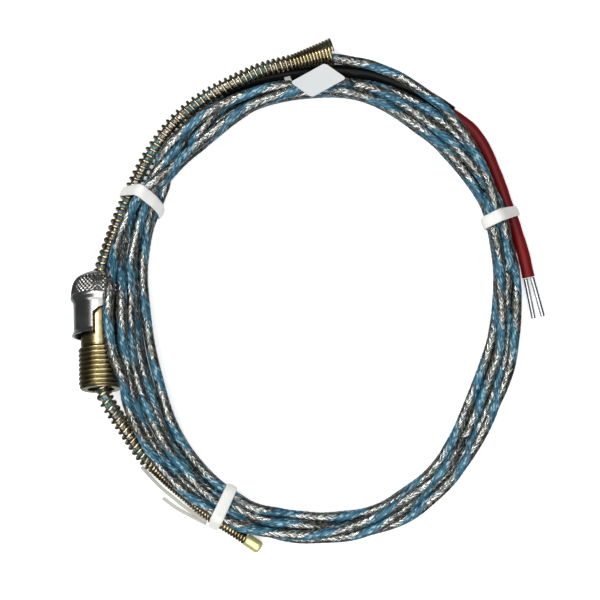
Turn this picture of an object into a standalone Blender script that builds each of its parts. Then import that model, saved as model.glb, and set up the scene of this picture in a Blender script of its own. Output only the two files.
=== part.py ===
"""Bayonet spring thermocouple with its braided lead coiled and tied.

Metres, +Z up. The coiled lead lies flat on z = 0. The origin is the middle of the
footprint of the metal parts (armour spring, bayonet fitting and tip). All sizes below
are in millimetres and are turned into metres when the meshes are made.
"""

import bmesh
import bpy
from math import asin, ceil, cos, degrees, pi, radians, sin
from mathutils import Matrix, Vector

MM = 0.001
GAP = 0.3                                   # clearance between pieces that touch

# ---- lead and coil ---------------------------------------------------------------
HOOP_CENTRE = Vector((36.63, -1.75, 0.0))   # middle of the coiled lead
LEAD_RADIUS = 1.65                          # braided lead, 3.3 mm across
COIL_STEP = 7.5                             # degrees between the coil's sections
# clock position in degrees, inner radius, outer radius and top of the coiled lead
COIL_SECTIONS = [
    (0, 55.9, 65.2, 7.4), (12, 57.3, 65.3, 7.4), (22, 58.7, 65.3, 7.5), (30, 60.1, 66.4, 7.6),
    (38, 60.8, 68.6, 7.8), (46, 61.6, 70.6, 8.0), (52, 62.6, 71.0, 8.2), (70, 64.8, 71.4, 9.8),
    (90, 64.6, 70.8, 10.0), (112, 63.4, 70.1, 10.0), (130, 61.4, 70.0, 10.0), (150, 57.8, 66.3, 10.2),
    (163, 55.6, 66.6, 14.6), (173, 54.2, 68.1, 21.4), (186, 54.2, 67.9, 22.6), (197, 54.4, 68.0, 22.8),
    (207, 55.6, 68.6, 17.0), (220, 59.8, 70.0, 10.4), (240, 64.9, 72.6, 8.0), (270, 67.5, 77.6, 7.4),
    (300, 64.3, 74.4, 7.4), (330, 56.4, 67.2, 7.4)]
COIL_BOTTOM = 1.0
COIL_BEVEL = 1.5

# ---- bayonet fitting: a straight axis that leans 13 degrees up towards its thread ----
FITTING_TOP = Vector((-69.9, 9.4, 7.51))      # middle of the cap's top, from HOOP_CENTRE
FITTING_END = Vector((-68.7, -27.6, 16.1))   # middle of the threaded end
CAP_LENGTH = 20.8
CAP_BORE = 3.4
CAP_WALL = 3.4                              # thickness of the cap's closed end
CAP_ROUND = 9.35                            # radius over the knurled head
SKIRT_OUTER = 8.4
SKIRT_INNER = 7.6
MOUTH_OUTER = 9.0                           # the skirt's flared lip
FITTING_ROOM = 0.45                         # between the fitting and the coil over it
ADAPTER_START = 8.0                         # where the stem ends inside the cap
ADAPTER_BORE = 4.3
STEM_RADIUS = 6.2
THREAD_START = 24.5
THREAD_PITCH = 1.5                          # M14 x 1.5
THREAD_TURNS = 9
THREAD_RADIUS = 7.0
THREAD_ROOT = 6.15
PIN_RADIUS = 1.4
PIN_REACH = (4.7, 8.1)                      # radii where each pin starts and ends
PIN_ANGLE = 76.0                            # latched, from the upper side of the axis
PIN_HEIGHT = 8.2                            # latched, above the cap's mouth
UNLATCH_ANGLE = 75.0
UNLATCH_DROP = 2.3
SLOT_HALF = 2.0                             # half width of the ramp round the pin
SLOT_ENTRY = (-12.0, 14.5)                  # sides of the entry notch, in degrees
SLOT_RADII = (6.7, 9.8)                     # where the slot's cutter starts and ends
ENTRY_LOW, ENTRY_HIGH = 6.2, 8.6            # the entry notch's sloped top, above the mouth

# ---- armour spring ----------------------------------------------------------------
WIRE_HALF = 0.3
COIL_SIDES = 6
OPEN_RADIUS, OPEN_PITCH = 2.05, 2.25
FLARE_RADIUS, FLARE_PITCH, FLARE_LENGTH = 4.55, 0.85, 13.0
TAIL_RADIUS, TAIL_PITCH, TAIL_LENGTH = 1.6, 0.85, 41.0
# the spring's middle line from HOOP_CENTRE: flare to cap, then adapter to tip
SPRING_BEFORE = [
    (5.1, 80.0, 6.6), (-1.6, 78.4, 6.7), (-7.7, 76.8, 7.0), (-18.2, 74.1, 7.4), (-28.0, 69.8, 7.2),
    (-36.2, 65.4, 5.9), (-42.4, 61.0, 4.6), (-48.4, 55.0, 3.6), (-54.3, 46.4, 3.3), (-59.2, 37.0, 3.3),
    (-63.0, 28.3, 3.4), (-66.0, 20.0, 4.9)]
SPRING_AFTER = [
    (-64.7, -34.7, 15.9), (-60.4, -41.6, 13.0), (-55.1, -49.8, 8.6), (-47.8, -57.4, 4.9),
    (-41.6, -62.9, 3.3), (-36.2, -67.6, 2.85), (-27.2, -73.4, 2.6), (-22.9, -76.3, 2.42)]
# shift of the spring inside the fitting: distance along the axis, shift to the hoop
SPRING_INSIDE = [(-0.5, 0.75), (4.0, 0.15), (10.0, 0.0), (20.0, 0.0), (29.0, 0.05), (34.0, 0.3),
                 (38.4, 0.85), (41.2, 1.55)]

# ---- what the spring holds, and the tip -------------------------------------------
PROBE_LEAD_RADIUS, PROBE_TAIL_RADIUS = 1.35, 0.8
PROBE_TAPER = 4.0                           # length over which the lead thins for the tail
TIP_RADIUS = 2.1
TIP_LENGTH = 5.0
TIP_BORE, TIP_BORE_DEPTH = 1.45, 3.7
BARE_WIRE_RADIUS, BARE_WIRE_SPREAD = 0.14, 0.36
JUNCTION_RADIUS, JUNCTION_AHEAD = 0.6, 3.0

# ---- sleeves and wire ends --------------------------------------------------------
SLEEVE_ROUTE = [
    (-37.4, 62.6, 2.6), (-30.0, 66.8, 2.6), (-20.3, 70.9, 2.6), (-8.0, 73.2, 2.6), (2.0, 73.9, 2.6),
    (10.0, 73.7, 2.6), (17.5, 72.8, 2.6), (25.6, 70.3, 2.6), (32.7, 67.0, 2.6), (38.3, 63.6, 2.6),
    (43.2, 60.2, 2.6), (49.6, 55.2, 2.6), (53.9, 48.8, 2.6), (57.8, 39.4, 2.6), (60.9, 30.6, 2.8),
    (62.9, 25.4, 2.9), (64.6, 19.9, 2.8), (66.1, 15.0, 2.5), (67.7, 8.0, 2.2)]
BLACK_START, BLACK_END = 7.6, 85.4          # distances along the route
BLACK_OUTER, BLACK_INNER = 2.4, 1.95
RED_OUTER, RED_INNER = 1.9, 1.55
FREE_LEAD_ROUTE = [
    (6.9, 77.7, 6.9), (11.2, 76.9, 7.0), (16.0, 76.0, 7.1), (20.5, 74.4, 7.2), (25.8, 72.1, 7.6),
    (30.6, 69.0, 8.8), (35.7, 65.2, 10.6), (39.8, 61.9, 11.4), (43.9, 57.1, 11.4)]
LEG_RADIUS, LEG_SPREAD = 0.55, 0.72
FERRULE_LENGTH = 13.0
FERRULE_OFFSET, FERRULE_GAP = 1.05, 0.35    # from the sleeve's middle line and its end
FERRULE_OUTER, FERRULE_INNER = 0.75, 0.6
CORE_RADIUS = 0.35

# ---- ties and label -----------------------------------------------------------------
TIE_THICKNESS = 0.7
TIE_WIDTH = 4.0
# clock position at the table, inner radius, outer radius, top, and how far the top leans back
TIES = {"tie_upper_left": (151.5, 56.0, 73.6, 11.6, 4.0), "tie_right": (24.4, 57.3, 71.4, 8.6, -1.3),
        "tie_bottom": (245.0, 64.1, 81.4, 9.0, 0.0)}
LABEL_CORNER = Vector((-1.9, 65.0, 10.3))   # from HOOP_CENTRE
LABEL_EDGES = (Vector((10.7, 6.2, 0.0)), Vector((-5.9, 5.2, 0.0)))
LABEL_THICKNESS = 0.3


for old in list(bpy.data.objects):
    bpy.data.objects.remove(old, do_unlink=True)


# ---- materials ----------------------------------------------------------------------
def material(name, colour, roughness, metallic):
    """A plain Principled material."""
    made = bpy.data.materials.new(name)
    made.use_nodes = True
    shader = made.node_tree.nodes["Principled BSDF"]
    shader.inputs["Base Color"].default_value = (*colour, 1.0)
    shader.inputs["Roughness"].default_value = roughness
    shader.inputs["Metallic"].default_value = metallic
    return made


NICKEL = material("nickel", (0.62, 0.61, 0.59), 0.25, 1.0)
BRASS = material("brass", (0.55, 0.42, 0.16), 0.28, 1.0)
SPRING_STEEL = material("spring_steel", (0.42, 0.36, 0.27), 0.3, 1.0)
STAINLESS = material("stainless", (0.6, 0.6, 0.6), 0.35, 1.0)
BRAID = material("braid", (0.12, 0.4, 0.58), 0.5, 0.3)
BLACK_TUBE = material("black_tube", (0.01, 0.01, 0.012), 0.3, 0.0)
RED_TUBE = material("red_tube", (0.4, 0.01, 0.01), 0.35, 0.0)
TINNED = material("tinned", (0.7, 0.7, 0.72), 0.25, 1.0)
WHITE_PLASTIC = material("white_plastic", (0.85, 0.86, 0.85), 0.4, 0.0)
PAPER = material("paper", (0.88, 0.9, 0.9), 0.5, 0.0)
GLASS_YARN = material("glass_yarn", (0.75, 0.7, 0.6), 0.8, 0.0)


# ---- shared helpers -------------------------------------------------------------------
def finish(name, bm, surface, sharp=40.0):
    """Turn a bmesh in millimetres into a named object in metres."""
    bmesh.ops.recalc_face_normals(bm, faces=bm.faces)
    bmesh.ops.scale(bm, vec=(MM, MM, MM), verts=bm.verts)
    mesh = bpy.data.meshes.new(name)
    bm.to_mesh(mesh)
    bm.free()
    mesh.shade_smooth()
    mesh.set_sharp_from_angle(angle=radians(sharp))
    made = bpy.data.objects.new(name, mesh)
    bpy.context.collection.objects.link(made)
    made.data.materials.append(surface)
    return made


def catmull(points, per_span=12):
    """A smooth open curve through the points, as a dense list."""
    pts = [Vector(p) for p in points]
    pts = [2 * pts[0] - pts[1]] + pts + [2 * pts[-1] - pts[-2]]
    out = []
    for i in range(1, len(pts) - 2):
        p0, p1, p2, p3 = pts[i - 1:i + 3]
        for k in range(per_span):
            t = k / per_span
            out.append(0.5 * (2 * p1 + (p2 - p0) * t + (2 * p0 - 5 * p1 + 4 * p2 - p3) * t * t
                              + (3 * p1 - p0 - 3 * p2 + p3) * t ** 3))
    out.append(pts[-2])
    return out


class Route:
    """A smooth line that can be read by its length, with a frame that doesn't twist."""

    def __init__(self, points):
        self.points = catmull(points)
        self.lengths = [0.0]
        for a, b in zip(self.points, self.points[1:]):
            self.lengths.append(self.lengths[-1] + (b - a).length)
        self.total = self.lengths[-1]
        self.normals = []
        normal = Vector((0, 0, 1))
        for i in range(len(self.points)):
            ahead = self.points[min(i + 1, len(self.points) - 1)]
            behind = self.points[max(i - 1, 0)]
            tangent = (ahead - behind).normalized()
            normal = (normal - normal.dot(tangent) * tangent).normalized()
            self.normals.append(normal)

    def at(self, distance):
        """Point, tangent and two cross directions at a distance along the line."""
        distance = min(max(distance, 0.0), self.total)
        lo, hi = 0, len(self.lengths) - 1
        while hi - lo > 1:
            mid = (lo + hi) // 2
            if self.lengths[mid] <= distance:
                lo = mid
            else:
                hi = mid
        span = self.lengths[hi] - self.lengths[lo]
        t = (distance - self.lengths[lo]) / span
        point = self.points[lo].lerp(self.points[hi], t)
        ahead = self.points[min(hi + 1, len(self.points) - 1)]
        behind = self.points[max(lo - 1, 0)]
        tangent = (ahead - behind).normalized()
        normal = self.normals[lo].lerp(self.normals[hi], t)
        normal = (normal - normal.dot(tangent) * tangent).normalized()
        return point, tangent, normal, tangent.cross(normal)


def hoop_points(points):
    """Route points given from the hoop's middle, in the object's own frame."""
    return [HOOP_CENTRE + Vector(p) for p in points]


def sweep(bm, rings):
    """A closed skin over a list of equal rings, with flat ends."""
    loops = [[bm.verts.new(co) for co in ring] for ring in rings]
    count = len(loops[0])
    for a, b in zip(loops, loops[1:]):
        for j in range(count):
            k = (j + 1) % count
            bm.faces.new((a[j], a[k], b[k], b[j]))
    bm.faces.new(reversed(loops[0]))
    bm.faces.new(loops[-1])


def tube_object(name, route, start, end, radius, surface, spacing=None, taper=None):
    """A solid round cord along part of a route, as a bevelled poly curve."""
    spacing = spacing or 5.0 * radius
    count = max(2, min(78, ceil((end - start) / spacing)))
    curve = bpy.data.curves.new(name, "CURVE")
    curve.dimensions = "3D"
    curve.bevel_depth = radius * MM
    curve.bevel_resolution = 2
    curve.use_fill_caps = True
    curve.twist_mode = "MINIMUM"
    spline = curve.splines.new("POLY")
    spline.points.add(count)
    for i, point in enumerate(spline.points):
        distance = start + (end - start) * i / count
        co = route.at(distance)[0] * MM
        point.co = (*co, 1.0)
        point.radius = taper(distance) if taper else 1.0
    made = bpy.data.objects.new(name, curve)
    bpy.context.collection.objects.link(made)
    curve.materials.append(surface)
    return made


def pipe_object(name, route, start, end, outer, inner, surface, sides=10, spacing=5.0):
    """A hollow tube along part of a route, open at both ends."""
    bm = bmesh.new()
    count = max(2, ceil((end - start) / spacing))
    skins = []
    for radius in (outer, inner):
        loops = []
        for i in range(count + 1):
            point, _, normal, side = route.at(start + (end - start) * i / count)
            ring = [point + radius * (cos(2 * pi * j / sides) * normal + sin(2 * pi * j / sides) * side)
                    for j in range(sides)]
            loops.append([bm.verts.new(co) for co in ring])
        skins.append(loops)
        for a, b in zip(loops, loops[1:]):
            for j in range(sides):
                k = (j + 1) % sides
                bm.faces.new((a[j], a[k], b[k], b[j]))
    for end_index in (0, -1):
        a, b = skins[0][end_index], skins[1][end_index]
        for j in range(sides):
            k = (j + 1) % sides
            bm.faces.new((a[j], a[k], b[k], b[j]))
    return finish(name, bm, surface)


def turned(name, profile, start, axis, surface, sides, up=Vector((0, 0, 1))):
    """A turned solid from a closed outline of (distance along the axis, radius)."""
    bm = bmesh.new()
    across = (up - up.dot(axis) * axis).normalized()
    side = axis.cross(across)
    loops = []
    for along, radius in profile:
        if radius < 1e-6:
            loops.append([bm.verts.new(start + along * axis)])
            continue
        ring = [start + along * axis + radius * (cos(2 * pi * j / sides) * across
                                                 + sin(2 * pi * j / sides) * side) for j in range(sides)]
        loops.append([bm.verts.new(co) for co in ring])
    pairs = list(zip(loops, loops[1:]))
    if profile[0][1] > 1e-6:
        pairs.append((loops[-1], loops[0]))
    for a, b in pairs:
        if len(a) == 1 and len(b) == 1:
            continue
        for j in range(sides):
            k = (j + 1) % sides
            face = [a[j % len(a)], a[k % len(a)], b[k % len(b)], b[j % len(b)]]
            bm.faces.new(list(dict.fromkeys(face)))
    return finish(name, bm, surface)


def cut(target, bm):
    """Take a cutter, built in millimetres, out of the target."""
    cutter = finish(target.name + "_cutter", bm, target.data.materials[0])
    cutter.hide_render = True
    cutter.display_type = "WIRE"
    boolean = target.modifiers.new(cutter.name, "BOOLEAN")
    boolean.operation = "DIFFERENCE"
    boolean.object = cutter
    return cutter


# ---- fitting axis ---------------------------------------------------------------------
AXIS_START = HOOP_CENTRE + FITTING_TOP
AXIS = (FITTING_END - FITTING_TOP).normalized()
AXIS_LENGTH = (FITTING_END - FITTING_TOP).length
AXIS_UP = (Vector((0, 0, 1)) - AXIS.z * AXIS).normalized()
AXIS_SIDE = AXIS_UP.cross(AXIS)
if AXIS_SIDE.x < 0:
    AXIS_SIDE.negate()


def on_fitting(along, angle, radius):
    """A point by distance along the axis, angle from its upper side to the hoop, radius."""
    turn = radians(angle)
    return AXIS_START + along * AXIS + radius * (cos(turn) * AXIS_UP + sin(turn) * AXIS_SIDE)


def spring_route():
    """The spring's middle line, from the flare's mouth to the tip."""
    inside = [AXIS_START + along * AXIS + shift * AXIS_SIDE for along, shift in SPRING_INSIDE]
    return Route(hoop_points(SPRING_BEFORE) + inside + hoop_points(SPRING_AFTER))


# ---- armour spring ----------------------------------------------------------------------
def spring_shape(route):
    """Coil radius and pitch at a distance along the spring."""
    tail_start = route.total - TAIL_LENGTH

    def shape(distance):
        if distance < FLARE_LENGTH:
            t = distance / FLARE_LENGTH
            return FLARE_RADIUS + (OPEN_RADIUS - FLARE_RADIUS) * t ** 0.8, FLARE_PITCH
        if distance > tail_start:
            t = min(1.0, (distance - tail_start) / 3.0)
            return OPEN_RADIUS + (TAIL_RADIUS - OPEN_RADIUS) * t, TAIL_PITCH
        return OPEN_RADIUS, OPEN_PITCH

    return shape


def make_spring(route):
    """One wire, wound close in the flare and the tail and open between them."""
    shape = spring_shape(route)
    bm = bmesh.new()
    rings = []
    distance, turn = 0.0, 0.0
    while distance < route.total:
        radius, pitch = shape(distance)
        point, tangent, normal, side = route.at(distance)
        outward = cos(turn) * normal + sin(turn) * side
        middle = point + radius * outward
        rings.append([middle + WIRE_HALF * (a * outward + b * tangent)
                      for a, b in ((1, 1), (1, -1), (-1, -1), (-1, 1))])
        turn += 2 * pi / COIL_SIDES
        distance += pitch / COIL_SIDES
    sweep(bm, rings)
    return finish("armour_spring", bm, SPRING_STEEL)


# ---- probe lead, junction and tip ---------------------------------------------------------
def make_probe(route):
    """What the spring holds: the lead, its two bare wires, the junction and the tip."""
    tail_start = route.total - TAIL_LENGTH
    tail_share = PROBE_TAIL_RADIUS / PROBE_LEAD_RADIUS

    def taper(distance):
        t = min(1.0, max(0.0, (distance - tail_start) / PROBE_TAPER + 1.0))
        return 1.0 + (tail_share - 1.0) * t

    tube_object("probe_lead", route, 0.2, route.total, PROBE_LEAD_RADIUS, GLASS_YARN, 3.2, taper)
    point, tangent, _, side = route.at(route.total)
    tip_start = point + GAP * tangent
    profile = [(0.0, TIP_BORE), (0.0, TIP_RADIUS - 0.2), (0.2, TIP_RADIUS), (TIP_LENGTH - 0.9, TIP_RADIUS),
               (TIP_LENGTH - 0.35, TIP_RADIUS - 0.3), (TIP_LENGTH, TIP_RADIUS - 0.8), (TIP_LENGTH, 0.0),
               (TIP_BORE_DEPTH, 0.0), (TIP_BORE_DEPTH, TIP_BORE)]
    turned("measuring_tip", profile, tip_start, tangent, BRASS, 24)
    for name, sign in (("wire_positive", 1), ("wire_negative", -1)):
        spread = sign * BARE_WIRE_SPREAD * side
        line = Route([point + GAP * tangent + spread, point + 1.2 * tangent + spread,
                      point + 2.0 * tangent + 0.8 * spread])
        tube_object(name, line, 0.0, line.total, BARE_WIRE_RADIUS, STAINLESS, 0.5)
    bm = bmesh.new()
    bead = Matrix.Translation(point + JUNCTION_AHEAD * tangent)
    bmesh.ops.create_icosphere(bm, subdivisions=2, radius=JUNCTION_RADIUS, matrix=bead)
    finish("hot_junction", bm, STAINLESS)


# ---- bayonet cap ----------------------------------------------------------------------------
def slot_edges(angle):
    """Lower and upper edge of the slot, above the cap's mouth, at an angle."""
    start, entry_end = SLOT_ENTRY
    ramp = (angle - (PIN_ANGLE - UNLATCH_ANGLE)) / UNLATCH_ANGLE
    middle = PIN_HEIGHT - UNLATCH_DROP * (1.0 - ramp)
    beyond = (angle - PIN_ANGLE) / degrees(asin(SLOT_HALF / SKIRT_OUTER))
    half = SLOT_HALF * (max(0.04, 1.0 - max(0.0, beyond) ** 2)) ** 0.5
    upper = min(middle, PIN_HEIGHT) + half
    lift = (angle - start) / 20.0
    if lift < 1.0:
        upper = ENTRY_LOW + (max(upper, ENTRY_HIGH) - ENTRY_LOW) * max(0.0, lift)
    lower = -0.6 if angle <= entry_end else min(middle, PIN_HEIGHT) - half
    return lower, upper


def slot_cutter(turned_by):
    """A curved block in the shape of one bayonet slot."""
    start, entry_end = SLOT_ENTRY
    last = PIN_ANGLE + degrees(asin(SLOT_HALF / SKIRT_OUTER))
    angles = [start, start + 6, start + 13, start + 20, entry_end, entry_end + 0.2]
    angles += [entry_end + 0.2 + (PIN_ANGLE - entry_end) * (i + 1) / 8 for i in range(8)]
    angles += [PIN_ANGLE + (last - PIN_ANGLE) * share for share in (0.5, 0.8, 1.0)]
    bm = bmesh.new()
    rings = []
    for angle in angles:
        lower, upper = slot_edges(angle)
        near, far = SLOT_RADII
        rings.append([on_fitting(CAP_LENGTH - height, angle + turned_by, radius)
                      for radius, height in ((near, lower), (near, upper), (far, upper), (far, lower))])
    sweep(bm, rings)
    return bm


def make_cap():
    """The knurled cap with its two bayonet slots."""
    lip = CAP_LENGTH - 1.5
    profile = [(0.0, CAP_BORE), (0.15, 4.0), (0.5, 4.9), (1.0, 5.9), (1.8, 7.2), (2.6, 7.9), (3.9, 8.6),
               (6.0, 9.1), (7.6, CAP_ROUND), (8.6, CAP_ROUND), (9.1, 9.1), (10.6, SKIRT_OUTER),
               (lip, SKIRT_OUTER), (lip + 0.9, MOUTH_OUTER - 0.15), (CAP_LENGTH, MOUTH_OUTER),
               (CAP_LENGTH, MOUTH_OUTER - 0.8), (lip, SKIRT_INNER), (CAP_WALL, SKIRT_INNER),
               (CAP_WALL, CAP_BORE)]
    cap = turned("bayonet_cap", profile, AXIS_START, AXIS, NICKEL, 40)
    cut(cap, slot_cutter(0.0))
    second = cut(cap, slot_cutter(180.0))
    second.name = "bayonet_cap_cutter_b"
    return cap


# ---- bayonet adapter ---------------------------------------------------------------------------
def make_adapter():
    """The brass stem with its M14 thread, bored through for the spring, and two pins."""
    profile = [(ADAPTER_START, ADAPTER_BORE), (ADAPTER_START, STEM_RADIUS - 0.4),
               (ADAPTER_START + 0.4, STEM_RADIUS), (THREAD_START - 0.5, STEM_RADIUS),
               (THREAD_START - 0.45, THREAD_ROOT - 0.2), (THREAD_START - 0.1, THREAD_ROOT - 0.2)]
    for i in range(THREAD_TURNS):
        middle = THREAD_START + (i + 0.5) * THREAD_PITCH
        crest = THREAD_RADIUS - (0.25 if i == THREAD_TURNS - 1 else 0.0)
        profile += [(middle - 0.3, crest), (middle + 0.3, crest), (middle + 0.75, THREAD_ROOT)]
    profile[-1] = (AXIS_LENGTH, THREAD_ROOT - 0.25)
    profile.append((AXIS_LENGTH, ADAPTER_BORE))
    adapter = turned("bayonet_adapter", profile, AXIS_START, AXIS, BRASS, 32)
    bm = bmesh.new()
    for angle in (PIN_ANGLE, PIN_ANGLE + 180.0):
        add_pin(bm, angle, PIN_REACH[0] - 1.4, PIN_REACH[1] + 1.0, PIN_RADIUS + GAP)
    cut(adapter, bm)
    for name, angle in (("bayonet_pin_inner", PIN_ANGLE), ("bayonet_pin_outer", PIN_ANGLE + 180.0)):
        bm = bmesh.new()
        add_pin(bm, angle, *PIN_REACH, PIN_RADIUS)
        finish(name, bm, STAINLESS)
    return adapter


def add_pin(bm, angle, start, end, radius):
    """A radial round pin on the fitting's axis."""
    along = CAP_LENGTH - PIN_HEIGHT
    outward = on_fitting(along, angle, 1.0) - on_fitting(along, angle, 0.0)
    across = AXIS
    side = outward.cross(across)
    rings = []
    for distance in (start, end):
        middle = on_fitting(along, angle, distance)
        rings.append([middle + radius * (cos(2 * pi * j / 16) * across + sin(2 * pi * j / 16) * side)
                      for j in range(16)])
    sweep(bm, rings)


# ---- coiled lead -----------------------------------------------------------------------------------
def coil_section(angle):
    """Inner radius, outer radius and top of the coil at a clock position."""
    table = COIL_SECTIONS
    angle %= 360.0
    for i, (here, *_) in enumerate(table):
        there = table[(i + 1) % len(table)][0] + (360 if i == len(table) - 1 else 0)
        if here <= angle < there:
            t = (angle - here) / (there - here)
            before, after = table[i - 1], table[(i + 2) % len(table)]
            a, b = table[i], table[(i + 1) % len(table)]
            blended = []
            for column in (1, 2, 3):
                p0, p1, p2, p3 = before[column], a[column], b[column], after[column]
                slope_a = (p2 - p0) * 0.35
                slope_b = (p3 - p1) * 0.35
                blended.append((2 * t ** 3 - 3 * t * t + 1) * p1 + (t ** 3 - 2 * t * t + t) * slope_a
                               + (3 * t * t - 2 * t ** 3) * p2 + (t ** 3 - t * t) * slope_b)
            return blended
    return table[0][1:]


def make_coil():
    """The outer shape of the coiled lead, arched over the bayonet fitting."""
    bm = bmesh.new()
    loops = []
    count = round(360 / COIL_STEP)
    for i in range(count):
        angle = i * COIL_STEP
        inner, outer, top = coil_section(angle)
        outward = Vector((cos(radians(angle)), sin(radians(angle)), 0))
        outline = [(inner + COIL_BEVEL, COIL_BOTTOM), (outer - COIL_BEVEL, COIL_BOTTOM),
                   (outer, COIL_BOTTOM + COIL_BEVEL),
                   (outer, top - COIL_BEVEL), (outer - COIL_BEVEL, top), (inner + COIL_BEVEL, top),
                   (inner, top - COIL_BEVEL), (inner, COIL_BOTTOM + COIL_BEVEL)]
        loops.append([bm.verts.new(HOOP_CENTRE + r * outward + Vector((0, 0, z))) for r, z in outline])
    for i in range(count):
        a, b = loops[i], loops[(i + 1) % count]
        for j in range(8):
            k = (j + 1) % 8
            bm.faces.new((a[j], a[k], b[k], b[j]))
    coil = finish("cable_coil", bm, BRAID)
    cut(coil, fitting_clearance())
    return coil


def fitting_clearance():
    """Room for the cap, the adapter and the spring under the arched strands."""
    past_ends = 9.0
    sections = [(-past_ends, CAP_ROUND), (CAP_LENGTH + 1.0, CAP_ROUND), (CAP_LENGTH + 3.0, THREAD_RADIUS),
                (AXIS_LENGTH + past_ends, THREAD_RADIUS)]
    bm = bmesh.new()
    rings = []
    for along, radius in sections:
        clear = radius + FITTING_ROOM
        arc = [(clear * sin(radians(a)), clear * cos(radians(a))) for a in range(0, 91, 15)]
        outline = [(-26.0, clear), (-26.0, -24.0), (clear, -24.0)] + arc[::-1]
        middle = AXIS_START + along * AXIS
        rings.append([middle + x * AXIS_SIDE + z * AXIS_UP for x, z in outline])
    sweep(bm, rings)
    return bm


# ---- free lead, sleeves and wire ends -----------------------------------------------------------------
def make_cold_end():
    """The lead out of the flare, and the sleeved end with its two wire ends."""
    free = Route(hoop_points(FREE_LEAD_ROUTE))
    tube_object("lead_free", free, 0.0, free.total, LEAD_RADIUS, BRAID, 3.6)
    sleeve = Route(hoop_points(SLEEVE_ROUTE))
    pipe_object("black_sleeve", sleeve, BLACK_START, BLACK_END, BLACK_OUTER, BLACK_INNER, BLACK_TUBE)
    red_start = BLACK_END + GAP
    pipe_object("red_sleeve", sleeve, red_start, sleeve.total, RED_OUTER, RED_INNER, RED_TUBE)
    tube_object("lead_end", sleeve, 0.4, BLACK_END - 14.0, 1.6, BRAID, 4.0)
    end, ahead, _, _ = sleeve.at(sleeve.total)
    flat = Vector((ahead.y, -ahead.x, 0)).normalized()
    legs_start = BLACK_END - 13.6
    for name, sign, splay in (("positive", 1, 0.012), ("negative", -1, 0.056)):
        line = []
        steps = 16
        for i in range(steps + 1):
            point, along, _, _ = sleeve.at(legs_start + (sleeve.total - 0.6 - legs_start) * i / steps)
            across = Vector((along.y, -along.x, 0)).normalized()
            line.append(point + sign * LEG_SPREAD * across)
        leg = Route(line)
        tube_object("leg_" + name, leg, 0.0, leg.total, LEG_RADIUS, GLASS_YARN, 6.0)
        aim = (ahead + sign * splay * flat - Vector((0, 0, 0.03))).normalized()
        start = end + sign * FERRULE_OFFSET * flat + FERRULE_GAP * ahead
        ferrule = Route([start, start + 0.5 * FERRULE_LENGTH * aim, start + FERRULE_LENGTH * aim])
        pipe_object("ferrule_" + name, ferrule, 0.0, ferrule.total, FERRULE_OUTER, FERRULE_INNER, TINNED,
                    sides=12, spacing=7.0)
        tube_object("core_" + name, ferrule, 0.0, ferrule.total - 0.2, CORE_RADIUS, STAINLESS, 7.0)


# ---- ties and label --------------------------------------------------------------------------------------
def make_tie(name, angle, inner, outer, top, lean):
    """A flat band closed round the bundle, with rounded corners and a leaning top."""
    outward = Vector((cos(radians(angle)), sin(radians(angle)), 0))
    along = Vector((-outward.y, outward.x, 0))
    bottom, corner = 0.02, 2.0
    corners = ((outer, top, 0), (inner, top, 90), (inner, bottom, 180), (outer, bottom, 270))
    bm = bmesh.new()
    loops = []
    for shift in (-TIE_WIDTH / 2, TIE_WIDTH / 2):
        for inset in (0.0, TIE_THICKNESS):
            ring = []
            for cr, cz, begin in corners:
                toward_r = corner if cr == inner else -corner
                toward_z = corner if cz == bottom else -corner
                for step in range(4):
                    turn = radians(begin + 30 * step)
                    reach = corner - inset
                    height = cz + toward_z + reach * sin(turn)
                    ring.append(HOOP_CENTRE + (cr + toward_r + reach * cos(turn)) * outward
                                + Vector((0, 0, height)) + (shift - lean * height / top) * along)
            loops.append([bm.verts.new(co) for co in ring])
    front_outer, front_inner, back_outer, back_inner = loops
    count = len(front_outer)
    for a, b in ((front_outer, back_outer), (front_inner, back_inner),
                 (front_outer, front_inner), (back_outer, back_inner)):
        for j in range(count):
            k = (j + 1) % count
            bm.faces.new((a[j], a[k], b[k], b[j]))
    return finish(name, bm, WHITE_PLASTIC)


def make_label():
    """A flat flag label that lies on the turns."""
    bm = bmesh.new()
    corner = HOOP_CENTRE + LABEL_CORNER
    long_edge, short_edge = LABEL_EDGES
    base = [corner, corner + long_edge, corner + long_edge + short_edge, corner + short_edge]
    rings = [[co + Vector((0, 0, z)) for co in base] for z in (0.0, LABEL_THICKNESS)]
    sweep(bm, rings)
    return finish("label_flag", bm, PAPER)


ROUTE = spring_route()
make_spring(ROUTE)
make_probe(ROUTE)
make_cap()
make_adapter()
make_coil()
make_cold_end()
for tie_name, tie_place in TIES.items():
    make_tie(tie_name, *tie_place)
make_label()
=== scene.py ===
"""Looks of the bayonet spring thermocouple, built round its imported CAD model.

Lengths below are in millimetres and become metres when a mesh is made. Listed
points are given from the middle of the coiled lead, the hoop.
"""

from math import asin, ceil, cos, degrees, pi, radians, sin

import bpy
import numpy as np
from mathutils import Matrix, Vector


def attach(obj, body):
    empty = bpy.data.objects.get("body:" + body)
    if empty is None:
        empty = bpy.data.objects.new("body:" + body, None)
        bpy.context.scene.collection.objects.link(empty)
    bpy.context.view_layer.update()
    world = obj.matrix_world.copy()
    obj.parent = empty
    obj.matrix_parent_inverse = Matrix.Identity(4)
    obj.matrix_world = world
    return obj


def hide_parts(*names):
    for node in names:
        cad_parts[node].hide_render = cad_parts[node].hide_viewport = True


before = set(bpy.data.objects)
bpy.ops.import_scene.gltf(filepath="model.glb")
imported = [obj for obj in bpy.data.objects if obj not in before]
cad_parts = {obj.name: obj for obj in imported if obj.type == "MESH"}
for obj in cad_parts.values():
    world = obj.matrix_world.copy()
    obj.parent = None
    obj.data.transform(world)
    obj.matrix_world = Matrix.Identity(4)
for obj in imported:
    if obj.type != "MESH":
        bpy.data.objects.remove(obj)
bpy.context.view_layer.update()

MM = 0.001
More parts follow.
